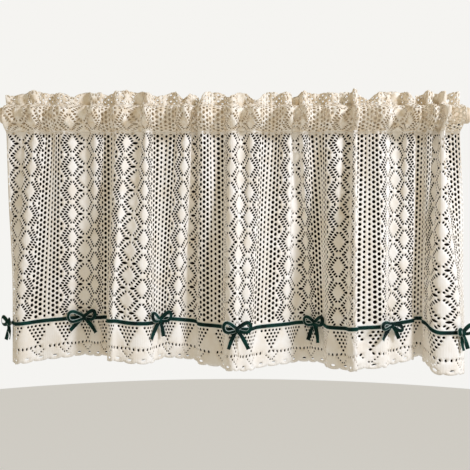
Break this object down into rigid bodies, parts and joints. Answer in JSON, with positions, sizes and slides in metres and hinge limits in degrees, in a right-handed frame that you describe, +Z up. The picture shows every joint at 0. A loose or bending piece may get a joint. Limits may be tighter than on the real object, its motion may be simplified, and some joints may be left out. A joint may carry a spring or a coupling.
{
  "type": "cafe curtain with rod",
  "caption": "Gathered crochet-lace cafe curtain on a round rod, with a standing header, a scalloped hem and a velvet ribbon with bows.",
  "frame": {"origin": "the middle of the rod's axis", "axes": "+X along the rod to the viewer's right, +Y to the window, +Z up"},
  "size_m": [0.7921, 0.1151, 0.4662],
  "materials": {
    "lace": "cream cotton lace, matt",
    "ribbon": "dark green velvet",
    "rod": "cream enamel, satin"
  },
  "bodies": {
    "root": {"bow_1": "ribbon", "bow_2": "ribbon", "bow_3": "ribbon", "bow_4": "ribbon", "bow_5": "ribbon", "bow_6": "ribbon", "bow_7": "ribbon", "lace_panel": "lace", "ribbon": "ribbon", "rod": "rod", "rod_cap_left": "rod", "rod_cap_right": "rod"}
  },
  "joints": []
}
